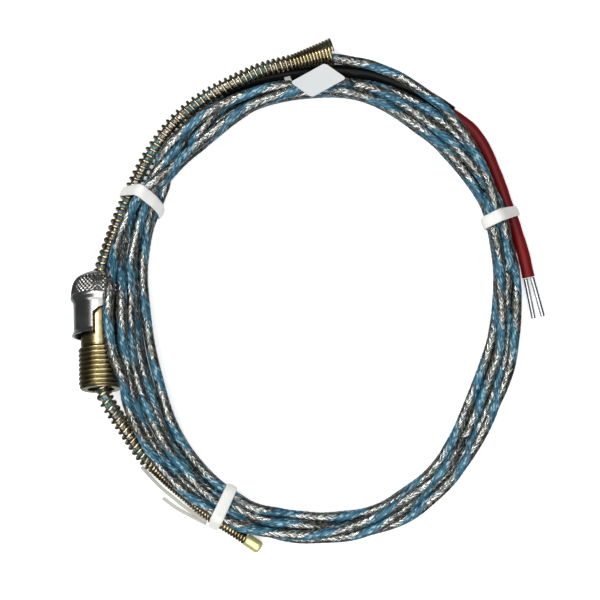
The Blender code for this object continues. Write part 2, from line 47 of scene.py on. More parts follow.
UP = np.array((0.0, 0.0, 1.0))
HOOP_CENTRE = np.array((36.63, -1.75, 0.0))

# ---- camera ----
CAMERA_PLACE = (0.03083, -0.0011, 0.8)
CAMERA_LENS = 148.8


def make_camera():
    """Straight above the coil, far enough for the photograph's flat perspective."""
    data = bpy.data.cameras.new("camera")
    data.lens = CAMERA_LENS
    data.sensor_width = 36.0
    camera = bpy.data.objects.new("camera", data)
    camera.location = CAMERA_PLACE
    bpy.context.collection.objects.link(camera)
    bpy.context.scene.camera = camera


make_camera()


# ---- lines and skins ----
def smooth_line(points, per_span=24):
    """Dense points of a smooth open curve through the given ones."""
    pts = np.asarray(points, float)
    pts = np.vstack((2 * pts[0] - pts[1], pts, 2 * pts[-1] - pts[-2]))
    t = (np.arange(per_span) / per_span)[:, None]
    spans = []
    for p0, p1, p2, p3 in zip(pts, pts[1:], pts[2:], pts[3:]):
        spans.append(0.5 * (2 * p1 + (p2 - p0) * t + (2 * p0 - 5 * p1 + 4 * p2 - p3) * t * t
                            + (3 * p1 - p0 - 3 * p2 + p3) * t ** 3))
    spans.append(pts[-2:-1])
    return np.vstack(spans)


def unit(vectors):
    """The same vectors at length 1."""
    return vectors / np.linalg.norm(vectors, axis=-1, keepdims=True)


class Line:
    """A smooth line that is read by its length, with its upper side as a reference."""

    def __init__(self, points, per_span=24):
        self.points = smooth_line(points, per_span)
        steps = np.linalg.norm(np.diff(self.points, axis=0), axis=1)
        self.lengths = np.concatenate(((0.0,), np.cumsum(steps)))
        self.total = self.lengths[-1]

    def at(self, distances):
        """Points, tangents, upper and side directions at distances along the line."""
        distances = np.atleast_1d(distances)
        here = self._read(distances)
        tangent = unit(self._read(distances + 0.4) - self._read(distances - 0.4))
        upper = unit(UP - (tangent @ UP)[:, None] * tangent)
        return here, tangent, upper, np.cross(tangent, upper)

    def _read(self, distances):
        distances = np.clip(distances, 0.0, self.total)
        return np.stack([np.interp(distances, self.lengths, self.points[:, k]) for k in range(3)], axis=1)


def rings_round(points, upper, side, radii, count):
    """Rings of points round a line. radii is one number, one per ring, or a full table."""
    turn = np.arange(count) * 2 * pi / count
    radii = np.asarray(radii, float)
    if radii.ndim == 1:
        radii = radii[:, None]
    outward = (np.cos(turn)[None, :, None] * upper[:, None, :]
               + np.sin(turn)[None, :, None] * side[:, None, :])
    table = np.broadcast_to(radii, (len(points), count))
    return points[:, None, :] + table[:, :, None] * outward


def skin(name, rings, material, body, along=None, loop=False, sharp=35.0, lids=True):
    """A closed quad skin over equal rings, as a named piece that rides on a body.

    The UV map runs once round each ring, and `along` gives its second value at each ring.
    """
    rows, count = rings.shape[:2]
    along = np.arange(rows, dtype=float) if along is None else np.asarray(along, float)
    spans = rows if loop else rows - 1
    i = np.repeat(np.arange(spans), count)
    j = np.tile(np.arange(count), spans)
    i2, j2 = (i + 1) % rows, (j + 1) % count
    quads = np.stack((i * count + j, i * count + j2, i2 * count + j2, i2 * count + j), axis=1)
    faces = quads.tolist()
    if not loop and lids:
        faces.append(list(range(count))[::-1])
        faces.append(list(range((rows - 1) * count, rows * count)))
    mesh = bpy.data.meshes.new(name)
    mesh.from_pydata((rings.reshape(-1, 3) * MM).tolist(), [], faces)
    u0, u1 = j / count, (j + 1) / count
    v0 = along[i]
    v1 = along[i2] if not loop else np.where(i2 == 0, along[i] + along[1] - along[0], along[i2])
    corners = np.stack((u0, v0, u1, v0, u1, v1, u0, v1), axis=1).ravel()
    uv = np.zeros(len(mesh.loops) * 2)
    uv[:len(corners)] = corners
    mesh.uv_layers.new(name="UVMap").data.foreach_set("uv", uv)
    mesh.shade_smooth()
    mesh.set_sharp_from_angle(angle=radians(sharp))
    return add_piece(name, mesh, material, body)


def add_piece(name, mesh, material, body):
    """Put a mesh into the scene as a piece with its material, on its body."""
    piece = bpy.data.objects.new(name, mesh)
    bpy.context.collection.objects.link(piece)
    mesh.materials.append(material)
    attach(piece, body)
    return piece


# ---- material helpers ----
class Shades:
    """A Principled material whose node values are put together with short calls."""

    def __init__(self, name, metallic=0.0, roughness=0.5):
        self.made = bpy.data.materials.new(name)
        self.made.use_nodes = True
        self.tree = self.made.node_tree
        self.shader = self.tree.nodes["Principled BSDF"]
        self.shader.inputs["Metallic"].default_value = metallic
        self.shader.inputs["Roughness"].default_value = roughness

    def node(self, kind, **settings):
        made = self.tree.nodes.new(kind)
        for key, value in settings.items():
            setattr(made, key, value)
        return made

    def feed(self, socket, value):
        if isinstance(value, bpy.types.NodeSocket):
            self.tree.links.new(value, socket)
        elif isinstance(value, tuple):
            socket.default_value = (*value, 1.0) if len(value) == 3 and socket.type == "RGBA" else value
        else:
            socket.default_value = value

    def math(self, operation, *values):
        made = self.node("ShaderNodeMath", operation=operation)
        for socket, value in zip(made.inputs, values):
            self.feed(socket, value)
        return made.outputs[0]

    def mix(self, share, first, second):
        made = self.node("ShaderNodeMix", data_type="RGBA")
        self.feed(made.inputs[0], share)
        self.feed(made.inputs[6], first)
        self.feed(made.inputs[7], second)
        return made.outputs[2]

    def blend(self, share, first, second):
        made = self.node("ShaderNodeMix", data_type="FLOAT")
        self.feed(made.inputs[0], share)
        self.feed(made.inputs[2], first)
        self.feed(made.inputs[3], second)
        return made.outputs[0]

    def ramp(self, value, low, high, first=0.0, second=1.0):
        made = self.node("ShaderNodeMapRange", interpolation_type="SMOOTHSTEP")
        for socket, number in zip(made.inputs, (value, low, high, first, second)):
            self.feed(socket, number)
        return made.outputs[0]

    def uv(self):
        made = self.node("ShaderNodeUVMap")
        split = self.node("ShaderNodeSeparateXYZ")
        self.tree.links.new(made.outputs[0], split.inputs[0])
        return split.outputs[0], split.outputs[1]

    def vector(self, x, y, z=0.0):
        made = self.node("ShaderNodeCombineXYZ")
        for socket, value in zip(made.inputs, (x, y, z)):
            self.feed(socket, value)
        return made.outputs[0]

    def place(self):
        """Object coordinates in metres."""
        return self.node("ShaderNodeTexCoord").outputs["Object"]

    def noise(self, where, scale, detail=3.0, roughness=0.55):
        made = self.node("ShaderNodeTexNoise")
        self.feed(made.inputs["Vector"], where)
        self.feed(made.inputs["Scale"], scale)
        self.feed(made.inputs["Detail"], detail)
        self.feed(made.inputs["Roughness"], roughness)
        return made.outputs["Fac"]

    def bump(self, height, depth, strength=1.0, under=None):
        made = self.node("ShaderNodeBump")
        made.inputs["Strength"].default_value = strength
        made.inputs["Distance"].default_value = depth * MM
        self.feed(made.inputs["Height"], height)
        if under is not None:
            self.feed(made.inputs["Normal"], under)
        return made.outputs[0]

    def colour(self, value):
        self.feed(self.shader.inputs["Base Color"], value)

    def roughness(self, value):
        self.feed(self.shader.inputs["Roughness"], value)

    def metallic(self, value):
        self.feed(self.shader.inputs["Metallic"], value)

    def normal(self, value):
        self.feed(self.shader.inputs["Normal"], value)


# ---- braid ----
LEAD_DIAMETER = 3.3
CARRIERS = 10                # strands of the braid each way
BRAID_LAY = 21.5             # one turn of a strand, along the lead
BLUE_CARRIERS = 4            # neighbouring strands, one way, that carry the blue tracer
BRAID_RELIEF = 0.2
WIRES_IN_STRAND = 2
BLUE_HIGHLIGHT_FROM = 0.82        # the blue wires whose random value is above this get a painted pale highlight


def braid_relief(u, v):
    """Height of the braid, 0 to 1, where u runs round the lead and v counts braid turns."""
    a, b = CARRIERS * (u + v), CARRIERS * (u - v)
    i, j = np.floor(a), np.floor(b)
    over = (np.mod(i, CARRIERS) < BLUE_CARRIERS) | (np.mod(i + j, 4) < 1.5)
    across = np.where(over, a - i, b - j)
    return np.sin(pi * across) ** 0.7


def braid_material(name, silver_tones, blue_tones, gap_shade_tone):
    """Bright fine wires, with a band of blue ones that winds along the lead, and painted shade at the
    strands' edges and between the wires.
    """
    s = Shades(name)
    u, v = s.uv()
    a = s.math("MULTIPLY", s.math("ADD", u, v), float(CARRIERS))
    b = s.math("MULTIPLY", s.math("SUBTRACT", u, v), float(CARRIERS))
    i, j = s.math("FLOOR", a), s.math("FLOOR", b)
    blue = s.math("LESS_THAN", s.math("FLOORED_MODULO", i, float(CARRIERS)), BLUE_CARRIERS - 0.5)
    twill = s.math("LESS_THAN", s.math("FLOORED_MODULO", s.math("ADD", i, j), 4.0), 1.5)
    over = s.math("MAXIMUM", blue, twill)
    across = s.blend(over, s.math("FRACT", b), s.math("FRACT", a))
    off_middle = s.math("ABSOLUTE", s.math("MULTIPLY_ADD", across, 2.0, -1.0))
    wire_at = s.math("MULTIPLY", across, float(WIRES_IN_STRAND))
    wire = s.math("ABSOLUTE", s.math("MULTIPLY_ADD", s.math("FRACT", wire_at), 2.0, -1.0))
    cell = s.node("ShaderNodeTexWhiteNoise", noise_dimensions="3D")
    s.feed(cell.inputs["Vector"], s.vector(i, j, s.math("ADD", s.math("FLOOR", wire_at), over)))
    streak = s.noise(s.vector(s.math("MULTIPLY", a, 3.0), s.math("MULTIPLY", b, 0.45)), 1.0, 3.0)
    tint = s.mix(s.ramp(s.noise(s.vector(i, j), 0.7, 1.0), 0.4, 0.6), *silver_tones[1:])
    silver = s.mix(s.math("POWER", cell.outputs["Value"], 1.5), silver_tones[0], tint)
    azure = s.mix(s.ramp(streak, 0.4, 0.62), *blue_tones[:2])
    # painted highlight: a random few blue wires are coloured pale blue
    azure = s.mix(s.math("GREATER_THAN", cell.outputs["Value"], BLUE_HIGHLIGHT_FROM), azure, blue_tones[2])
    colour = s.mix(blue, silver, azure)
    # painted shade: each strand darkens towards its edges and each wire towards its grooves, down to the dark
    # gap colour
    shadow = s.ramp(off_middle, s.blend(blue, 0.4, 0.7), 1.0)
    groove_shade = s.math("MULTIPLY", s.ramp(wire, 0.55, 1.0), s.blend(blue, 0.7, 0.35))
    painted_shade = s.math("MAXIMUM", s.math("MULTIPLY", shadow, s.blend(blue, 0.97, 0.75)), groove_shade)
    s.colour(s.mix(painted_shade, colour, s.mix(blue, gap_shade_tone, blue_tones[0])))
    s.metallic(s.blend(blue, 0.9, 0.2))
    s.roughness(s.blend(blue, 0.24, 0.34))
    height = s.math("SUBTRACT", 1.0, s.math("MULTIPLY", wire, wire))
    s.normal(s.bump(height, 0.06, 0.8))
    return s.made


# ---- the other materials ----
def metal_material(name, colour, dull, roughness, grain=900.0, grain_depth=0.01):
    """A metal with a little tarnish, uneven gloss and fine marks."""
    s = Shades(name, metallic=1.0)
    where = s.place()
    clouds = s.noise(where, 260.0, 4.0)
    s.colour(s.mix(s.ramp(clouds, 0.35, 0.75), colour, dull))
    s.roughness(s.blend(clouds, roughness * 0.75, roughness * 1.35))
    s.normal(s.bump(s.noise(where, grain, 2.0), grain_depth, 0.5))
    return s.made


NO_PAINTED_SHADE = 1000.0           # further along than any outline goes
# near black: painted shade for the inside of a hollow piece
INSIDE_SHADE = (0.015, 0.015, 0.014)


def turned_material(name, colour, dull, roughness, line_depth=0.012, metallic=1.0, shade_from=NO_PAINTED_SHADE):
    """A turned metal: fine lathe lines run round it, and its hollows take a darker tone.

    Further along its outline than the given point, it is painted near black as shade inside a hollow.
    """
    s = Shades(name, metallic=metallic)
    u, v = s.uv()
    clouds = s.noise(s.place(), 230.0, 4.0)
    lines = s.noise(s.vector(s.math("MULTIPLY", u, 2.0), s.math("MULTIPLY", v, 9.0)), 1.0, 2.0)
    edge = s.node("ShaderNodeNewGeometry").outputs["Pointiness"]
    # hollows, found by pointiness, take the darker tone
    out_of_hollows = s.ramp(edge, 0.44, 0.56)
    base = s.mix(s.ramp(clouds, 0.3, 0.8), colour, dull)
    # painted shade: past the given point along the outline the colour goes near black
    inside = s.ramp(v, shade_from - 0.2, shade_from + 0.2)
    s.colour(s.mix(inside, s.mix(out_of_hollows, dull, base), INSIDE_SHADE))
    s.roughness(s.blend(lines, roughness * 0.7, roughness * 1.4))
    s.normal(s.bump(lines, line_depth, 0.6))
    return s.made


def dull_material(name, low, high, clouds, roughness, marks, specular=0.5):
    """Two mixed tones, with uneven gloss and fine marks.

    clouds is the scale and detail of the tones. marks is the scale, detail, depth and
    strength of the marks.
    """
    s = Shades(name)
    s.shader.inputs["Specular IOR Level"].default_value = specular
    where = s.place()
    tones = s.noise(where, *clouds)
    s.colour(s.mix(tones, low, high))
    s.roughness(s.blend(tones, *roughness))
    s.normal(s.bump(s.noise(where, *marks[:2]), *marks[2:]))
    return s.made


# tones: dark wire, cream wire, cool wire; then dark blue, blue, and the pale blue of painted highlights; then
# the painted shade in the gaps
BRAID = braid_material(
    "braid", ((0.11, 0.115, 0.105), (0.97, 0.93, 0.84), (0.78, 0.90, 0.90)),
    ((0.004, 0.035, 0.08), (0.075, 0.27, 0.37), (0.30, 0.50, 0.56)), (0.009, 0.009, 0.008))
# a dimmer, greyer copy of the braid: painted shade on the lead inside the spring
SHADED_INNER_BRAID = braid_material(
    "braid_inside_shaded", ((0.15, 0.13, 0.12), (0.75, 0.68, 0.60), (0.70, 0.68, 0.66)),
    ((0.02, 0.08, 0.09), (0.12, 0.28, 0.30), (0.45, 0.46, 0.45)), (0.02, 0.016, 0.014))
CAP_SHADE_FROM = 24.9       # along the cap's outline, just past its lip, where the painted shade inside begins
NICKEL = turned_material("nickel", (0.70, 0.69, 0.67), (0.34, 0.33, 0.31), 0.2,
                         shade_from=CAP_SHADE_FROM)
BRASS = turned_material("brass", (0.60, 0.52, 0.31), (0.20, 0.16, 0.075), 0.25)
TIP_BRASS = turned_material("tip_brass", (1.0, 0.95, 0.48), (0.86, 0.78, 0.30), 0.25, 0.003, 0.6)
SPRING_STEEL = metal_material("spring_steel", (0.62, 0.53, 0.32), (0.22, 0.17, 0.09), 0.17)
STAINLESS = metal_material("stainless", (0.58, 0.57, 0.55), (0.40, 0.39, 0.37), 0.3)
TINNED = metal_material("tinned", (0.80, 0.80, 0.81), (0.62, 0.62, 0.64), 0.2, 1500.0)
TUBE_CLOUDS, TUBE_MARKS = (180.0, 3.0), (700.0, 3.0, 0.05, 0.5)
PLASTIC_LOOK = ((150.0, 3.0), (0.3, 0.45), (1400.0, 2.0, 0.02, 0.5))
BLACK_TUBE = dull_material("black_tube", (0.003, 0.003, 0.0032), (0.007, 0.007, 0.0072), TUBE_CLOUDS,
                           (0.24, 0.39), TUBE_MARKS, 0.14)
RED_TUBE = dull_material("red_tube", (0.10, 0.002, 0.003), (0.24, 0.004, 0.005), TUBE_CLOUDS,
                         (0.288, 0.468), TUBE_MARKS, 0.25)
WHITE_PLASTIC = dull_material("white_plastic", (0.78, 0.77, 0.73), (0.87, 0.87, 0.85), *PLASTIC_LOOK)
# a darker copy of the white plastic: painted shade for the bottom tie's ends
SHADED_TAIL_PLASTIC = dull_material("tail_plastic_shaded", (0.34, 0.34, 0.30), (0.50, 0.50, 0.45), *PLASTIC_LOOK)
PAPER = dull_material("paper", (0.60, 0.62, 0.63), (0.67, 0.68, 0.68), (60.0, 3.0), (0.42, 0.42),
                      (900.0, 5.0, 0.015, 0.5))
GLASS_YARN = dull_material("glass_yarn", (0.52, 0.46, 0.36), (0.82, 0.78, 0.68), (1500.0, 4.0), (0.8, 0.8),
                           (2500.0, 3.0, 0.05, 0.8))


# ---- fitting axis ----
FITTING_TOP = np.array((-69.9, 9.4, 7.51))
FITTING_END = np.array((-68.7, -27.6, 16.1))
AXIS_START = HOOP_CENTRE + FITTING_TOP
AXIS = unit(FITTING_END - FITTING_TOP)
AXIS_LENGTH = np.linalg.norm(FITTING_END - FITTING_TOP)
AXIS_UP = unit(UP - AXIS[2] * AXIS)
AXIS_SIDE = np.cross(AXIS, AXIS_UP)
if AXIS_SIDE[0] < 0:
    AXIS_SIDE = -AXIS_SIDE
CAP_LENGTH = 20.8
CAP_BORE = 3.4
CAP_WALL = 3.4               # thickness of the cap's closed end
CAP_ROUND = 9.35
SKIRT_OUTER = 8.4
SKIRT_INNER = 7.6
MOUTH_OUTER = 9.0
THREAD_START = 24.5


def on_fitting(along, angle, radius):
    """Points by distance along the axis, angle from its upper side to the hoop, radius."""
    along, turn, radius = np.broadcast_arrays(along, np.radians(angle), radius)
    outward = np.cos(turn)[..., None] * AXIS_UP + np.sin(turn)[..., None] * AXIS_SIDE
    return AXIS_START + along[..., None] * AXIS + radius[..., None] * outward


# ---- routes, repeated from the CAD source ----
SPRING_BEFORE = [
    (5.1, 80.0, 6.6), (-1.6, 78.4, 6.7), (-7.7, 76.8, 7.0), (-18.2, 74.1, 7.4), (-28.0, 69.8, 7.2),
    (-36.2, 65.4, 5.9), (-42.4, 61.0, 4.6), (-48.4, 55.0, 3.6), (-54.3, 46.4, 3.3), (-59.2, 37.0, 3.3),
    (-63.0, 28.3, 3.4), (-66.0, 20.0, 4.9)]
SPRING_AFTER = [
    (-64.7, -34.7, 15.9), (-60.4, -41.6, 13.0), (-55.1, -49.8, 8.6), (-47.8, -57.4, 4.9),
    (-41.6, -62.9, 3.3), (-36.2, -67.6, 2.85), (-27.2, -73.4, 2.6), (-22.9, -76.3, 2.42)]
SPRING_INSIDE = [(-0.5, 0.75), (4.0, 0.15), (10.0, 0.0), (20.0, 0.0), (29.0, 0.05), (34.0, 0.3),
                 (38.4, 0.85), (41.2, 1.55)]
SLEEVE_ROUTE = [
    (-37.4, 62.6, 2.6), (-30.0, 66.8, 2.6), (-20.3, 70.9, 2.6), (-8.0, 73.2, 2.6), (2.0, 73.9, 2.6),
    (10.0, 73.7, 2.6), (17.5, 72.8, 2.6), (25.6, 70.3, 2.6), (32.7, 67.0, 2.6), (38.3, 63.6, 2.6),
    (43.2, 60.2, 2.6), (49.6, 55.2, 2.6), (53.9, 48.8, 2.6), (57.8, 39.4, 2.6), (60.9, 30.6, 2.8),
    (62.9, 25.4, 2.9), (64.6, 19.9, 2.8), (66.1, 15.0, 2.5), (67.7, 8.0, 2.2)]
BLACK_START, BLACK_END = 7.6, 85.4          # distances along the route
BLACK_OUTER, BLACK_INNER = 2.4, 1.95
RED_OUTER, RED_INNER = 1.9, 1.55
SLEEVE_JOINT = 0.02          # between the black sleeve and the red one
FREE_LEAD_ROUTE = [
    (6.9, 77.7, 6.9), (11.2, 76.9, 7.0), (16.0, 76.0, 7.1), (20.5, 74.4, 7.2), (25.8, 72.1, 7.6),
    (30.6, 69.0, 8.8), (35.7, 65.2, 10.6), (39.8, 61.9, 11.4), (43.9, 57.1, 11.4)]
LEAD_IN_FLARE = [(-4.4, 77.45, 6.85), (-1.0, 77.75, 6.8), (2.6, 77.95, 6.85)]


def from_hoop(points):
    """Listed points in the object's own frame."""
    return HOOP_CENTRE + np.array(points)


def spring_line():
    """The armour spring's middle line, from the flare's mouth to the tip."""
    inside = [AXIS_START + along * AXIS + shift * AXIS_SIDE for along, shift in SPRING_INSIDE]
    return Line(np.vstack((from_hoop(SPRING_BEFORE), inside, from_hoop(SPRING_AFTER))))


SPRING_LINE = spring_line()
SLEEVE_LINE = Line(from_hoop(SLEEVE_ROUTE))

# ---- coiled lead ----
TURN_STATIONS = 96
STATION_STEP = 360.0 / TURN_STATIONS
COIL_START = 52.5            # clock position where the free lead joins the coil, in degrees
COIL_STATIONS = 654
# clock position in degrees, inner and outer radius of the bundle, height of its outer turn
BUNDLE = [
    (0, 55.4, 65, 4), (10, 57.2, 65.4, 4), (20, 58.4, 65.2, 4.4), (30, 60.4, 67.3, 5.2),
    (41, 60.9, 69.6, 5.6), (48, 61.3, 71, 5.6), (54, 62.4, 72, 5.6), (60, 62.7, 72.4, 5.6),
    (66, 63.6, 72.7, 5.6), (72, 65.1, 73.2, 5.6), (78, 66, 72.9, 5.4), (84, 66.3, 72.2, 5.2),
    (90, 65.8, 71.6, 5.2), (100, 65.4, 71.8, 5.6), (108, 64.9, 71.8, 5.8), (114, 63.3, 71.8, 5.8),
    (120, 62.2, 71.6, 5.6), (126, 61.2, 71.3, 5.4), (132, 60.9, 71, 5.6), (138, 61, 70.2, 5.8),
    (145, 59.6, 69.2, 6), (150, 58.4, 68.7, 6.4), (157, 57.7, 68.4, 7), (163, 56.5, 68.1, 9),
    (168, 55.9, 67.9, 12), (172, 55, 68.1, 15), (175, 54.2, 68.1, 17.9), (178, 53, 68.1, 19.7),
    (182, 52.4, 68.3, 20.9), (189, 52.7, 69, 22.7), (195, 53.3, 70, 23.4), (200, 53.5, 70.7, 23.2),
    (205, 53.5, 71.2, 18.8), (210, 55, 71.8, 17), (216, 57.9, 72.4, 14.5), (220, 59.3, 73.2, 12.2),
    (227, 61.5, 74.8, 9.2), (240, 64.9, 76.4, 7.3), (247, 66.3, 76.9, 6.4), (252, 67.6, 77.8, 6),
    (258, 67, 78.4, 5.4), (264, 66.3, 78, 5), (270, 67.5, 77.6, 4.4), (276, 67.5, 77.6, 4.2),
    (282, 68, 76.6, 4), (288, 67.4, 76.7, 4), (294, 65.7, 76.3, 4), (300, 64.8, 74.4, 4),
    (306, 63.5, 73, 4), (312, 60.8, 71, 4), (318, 59.1, 69.6, 4), (324, 56.4, 68.3, 4),
    (330, 55.4, 66.9, 4), (342, 55.1, 66.4, 4), (348, 55.4, 65.5, 4), (360, 55.4, 65, 4)]
# clock position at the table, and how far the band's top leans back
TIE_PLACES = {"tie_upper_left": (151.5, 4.0), "tie_right": (24.4, -1.3), "tie_bottom": (245.0, 0.0)}
TIE_THICKNESS = 0.7
LANE_KNOT = 22               # stations between two changes of lane
LANE_SEED = 5
# where each pass lies beside the cap: its lane, 0 inside to 1 outside, and its height there
CAP_PASSES = [(0.74, 0.92), (1.0, 1.0), (0.3, 0.66), (0.5, 0.81), (0.27, 0.4), (0.0, 0.55), (0.03, 0.22)]
CAP_CLOCK, CAP_REACH, CAP_FADE = 202.0, 66.0, 14.0
SPRING_KEEP = 2.6            # radius kept clear round the spring's middle line
SLEEVE_KEEP = 2.45
FLOOR_GAP = 0.3
STRAND_GAP = 0.06
SWEEPS = 900                 # passes that settle the turns
TURNS_NEAR = 6               # how many turns away a strand can be touched
FALL = 0.03                  # in each pass
EVENING = 0.3                # how much each pass smooths the lead
COIL_HEAD = (72.0, 11.4)     # radius and height where the free lead joins the coil
COIL_TAIL = (71.4, 1.95)     # and where the last turn leaves for the sleeve


def polar(points):
    """Clock position in degrees, distance from the hoop's middle, and height."""
    rel = points - HOOP_CENTRE
    return np.degrees(np.arctan2(rel[:, 1], rel[:, 0])), np.hypot(rel[:, 0], rel[:, 1]), rel[:, 2]


def section_reader(points, radii):
    """Where an obstacle's round section lies at clock positions: radius, height, size."""
    clock, reach, height = polar(points)
    clock = np.mod(clock, 360.0)
    order = np.argsort(clock)
    clock, reach, height, radii = clock[order], reach[order], height[order], np.asarray(radii)[order]

    def read(where):
        where = np.mod(where, 360.0)
        size = np.interp(where, clock, radii, left=0.0, right=0.0)
        return np.interp(where, clock, reach), np.interp(where, clock, height), size

    return read


def obstacles():
    """Everything the turns lie against: the spring, the fitting and the sleeve."""
    flare = np.clip((13.0 - SPRING_LINE.lengths) / 13.0, 0.0, 1.0)
    spring_size = SPRING_KEEP + 2.4 * flare
    along = np.linspace(-1.5, AXIS_LENGTH + 6.0, 96)
    axis_points = AXIS_START + along[:, None] * AXIS
    size = np.interp(along, (-1.5, 0.0, 1.5, 4.0, 6.0, 9.0, 11.0, 19.0, 21.0, 22.5, 24.4, 40.6, 42.2, 43.4),
                     (3.0, 5.5, 7.7, 8.8, 9.5, 9.5, 8.8, 8.8, 9.2, 7.4, 7.3, 7.3, 6.0, 3.0))
    rel = axis_points - HOOP_CENTRE
    square = np.abs(rel[:, 0] * AXIS[1] - rel[:, 1] * AXIS[0]) / np.hypot(rel[:, 0], rel[:, 1])
    red = np.where(SLEEVE_LINE.lengths > BLACK_END, SLEEVE_KEEP - 0.5, SLEEVE_KEEP)
    return [section_reader(SPRING_LINE.points, spring_size),
            section_reader(axis_points, size / square),
            section_reader(SLEEVE_LINE.points, red)]


def lanes(rng, count, smallest, largest):
    """A smooth wander between two values along the lead."""
    knots = rng.uniform(smallest, largest, count // LANE_KNOT + 4)
    where = np.arange(count) / LANE_KNOT
    k = where.astype(int)
    t = where - k
    t = t * t * (3 - 2 * t)
    return knots[k] * (1 - t) + knots[k + 1] * t


def spread(lane, column):
    """The lanes, stretched so that each clock position has a turn at 0 and one at 1."""
    least, most = np.ones(TURN_STATIONS), np.zeros(TURN_STATIONS)
    np.minimum.at(least, column, lane)
    np.maximum.at(most, column, lane)
    return (lane - least[column]) / (most - least)[column]


def wind_coil():
    """Lay the turns: each wanders in its lane and is pushed clear of what it meets."""
    rng = np.random.default_rng(LANE_SEED)
    index = np.arange(COIL_STATIONS)
    clock = COIL_START - STATION_STEP * index
    table = np.array(BUNDLE, float)
    where = np.mod(clock, 360.0)
    inner = np.interp(where, table[:, 0], table[:, 1]) + LEAD_DIAMETER / 2
    outer = np.interp(where, table[:, 0], table[:, 2]) - LEAD_DIAMETER / 2
    ridge = np.interp(where, table[:, 0], table[:, 3])
    outer = np.maximum(outer, np.interp(index, (0, 3, 8), (72.5, 71.5, 0.0)))
    last = COIL_STATIONS - 1 - index
    outer = np.maximum(outer, np.interp(last, (0, 4, 9), (73.0, 68.0, 0.0)))
    floor = np.full(COIL_STATIONS, LEAD_DIAMETER / 2 + FLOOR_GAP)
    for tie, _ in TIE_PLACES.values():
        off = np.abs(np.mod(where - tie + 180.0, 360.0) - 180.0)
        floor = np.maximum(floor, LEAD_DIAMETER / 2 + (TIE_THICKNESS + 0.15) * np.clip(1.6 - off / 5.0, 0, 1))
    lane = spread(lanes(rng, COIL_STATIONS, 0.0, 1.0), index % TURN_STATIONS)
    want_z = lanes(rng, COIL_STATIONS, 1.7, 8.0)
    turn_number = np.clip(np.floor((COIL_START - clock) / 360.0), 0, len(CAP_PASSES) - 1).astype(int)
    beside = np.clip((CAP_REACH - np.abs(where - CAP_CLOCK)) / CAP_FADE, 0, 1)
    passes = np.array(CAP_PASSES)[turn_number]
    rim = np.clip((lane - 0.8) / 0.2, 0, 1)
    want_z += rim * (ridge - want_z)
    lane += beside * (passes[:, 0] - lane)
    want_z += beside * (np.maximum(passes[:, 1] * ridge, 1.9) - want_z)
    want_r = inner + (outer - inner) * lane
    want_r[:8] = np.interp(index[:8], (0, 3, 8), (COIL_HEAD[0], 71.0, 67.0))
    want_z[:8] = 11.0
    edge = np.clip(np.abs(2.0 * lane - 1.0) / 0.3 - 2.33, 0, 1)
    r, z = want_r.copy(), want_z.copy()
    bodies = [read(clock) for read in obstacles()]
    for sweep in range(SWEEPS):
        late = sweep / SWEEPS
        pull = np.maximum(0.05 * (1 - late) ** 2, np.maximum(0.035 * beside, 0.03 * edge))
        r += pull * (want_r - r)
        z += 0.5 * pull * (want_z - z) - FALL
        for values in (r, z):
            values[1:-1] += EVENING * (0.5 * (values[:-2] + values[2:]) - values[1:-1])
        for turns in range(1, TURNS_NEAR + 1):
            gap = turns * TURN_STATIONS
            dr, dz = r[gap:] - r[:-gap], z[gap:] - z[:-gap]
            apart = np.hypot(dr, dz) + 1e-6
            push = 0.5 * np.clip(LEAD_DIAMETER + STRAND_GAP - apart, 0, None) / apart
            r[gap:] += push * dr
            z[gap:] += push * dz
            r[:-gap] -= push * dr
            z[:-gap] -= push * dz
        for reach, height, size in bodies:
            dr, dz = r - reach, z - height
            apart = np.hypot(dr, dz) + 1e-6
            push = np.where(size > 0, np.clip(size + LEAD_DIAMETER / 2 - apart, 0, None), 0) / apart
            r += push * dr
            z += push * dz
        r = np.clip(r, inner + 0.4 * np.minimum(0, r - inner), outer + 0.4 * np.maximum(0, r - outer))
        z = np.maximum(z, floor)
        r[0], z[0] = COIL_HEAD
        r[-1], z[-1] = COIL_TAIL
    turn = np.radians(clock)
    return HOOP_CENTRE + np.stack((r * np.cos(turn), r * np.sin(turn), z), axis=1), clock, r, z


LEAD_RINGS = 4850
LEAD_SIDES = 20
LEAD_INTO_SLEEVE = 71.4


def lead_line(coil):
    """The whole lead: out of the flare, round the coil and into the sleeve."""
    free = from_hoop(LEAD_IN_FLARE + FREE_LEAD_ROUTE[:-1])
    ending = SLEEVE_LINE.at(np.arange(0.4, LEAD_INTO_SLEEVE, 4.5))[0]
    return Line(np.vstack((free, coil, ending)), 8)


def make_lead(line):
    """One braided lead, with the relief of its crossing strands."""
    distances = np.linspace(0.0, line.total, LEAD_RINGS)
    points, _, upper, side = line.at(distances)
    turns = distances / BRAID_LAY
    u = np.arange(LEAD_SIDES) / LEAD_SIDES
    relief = braid_relief(u[None, :], turns[:, None])
    radii = LEAD_DIAMETER / 2 - BRAID_RELIEF * (1 - relief)
    lead = skin("braided_lead", rings_round(points, upper, side, radii, LEAD_SIDES), BRAID, "probe",
                along=turns, sharp=180.0)
    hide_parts("cable_coil", "lead_free", "lead_end")
    return lead, points


COIL_POINTS, COIL_CLOCK, COIL_REACH, COIL_HEIGHT = wind_coil()
LEAD_LINE = lead_line(COIL_POINTS)
LEAD, LEAD_PATH = make_lead(LEAD_LINE)


# ---- armour spring and what it holds ----
WIRE_RADIUS = 0.5
WIRE_SIDES = 8
TURN_STEPS = 26
OPEN_RADIUS, OPEN_PITCH = 2.18, 2.13
FLARE_RADIUS, FLARE_LENGTH = 4.55, 13.0
TAIL_RADIUS, TAIL_LENGTH = 1.6, 41.0
CLOSE_PITCH = 1.05           # in the flare and the tail
OPENING_LENGTH = 40.0        # over which the open part reaches its full pitch
HELD_IN_OPEN, HELD_IN_TAIL = 1.64, 1.05     # radius of the lead inside the spring


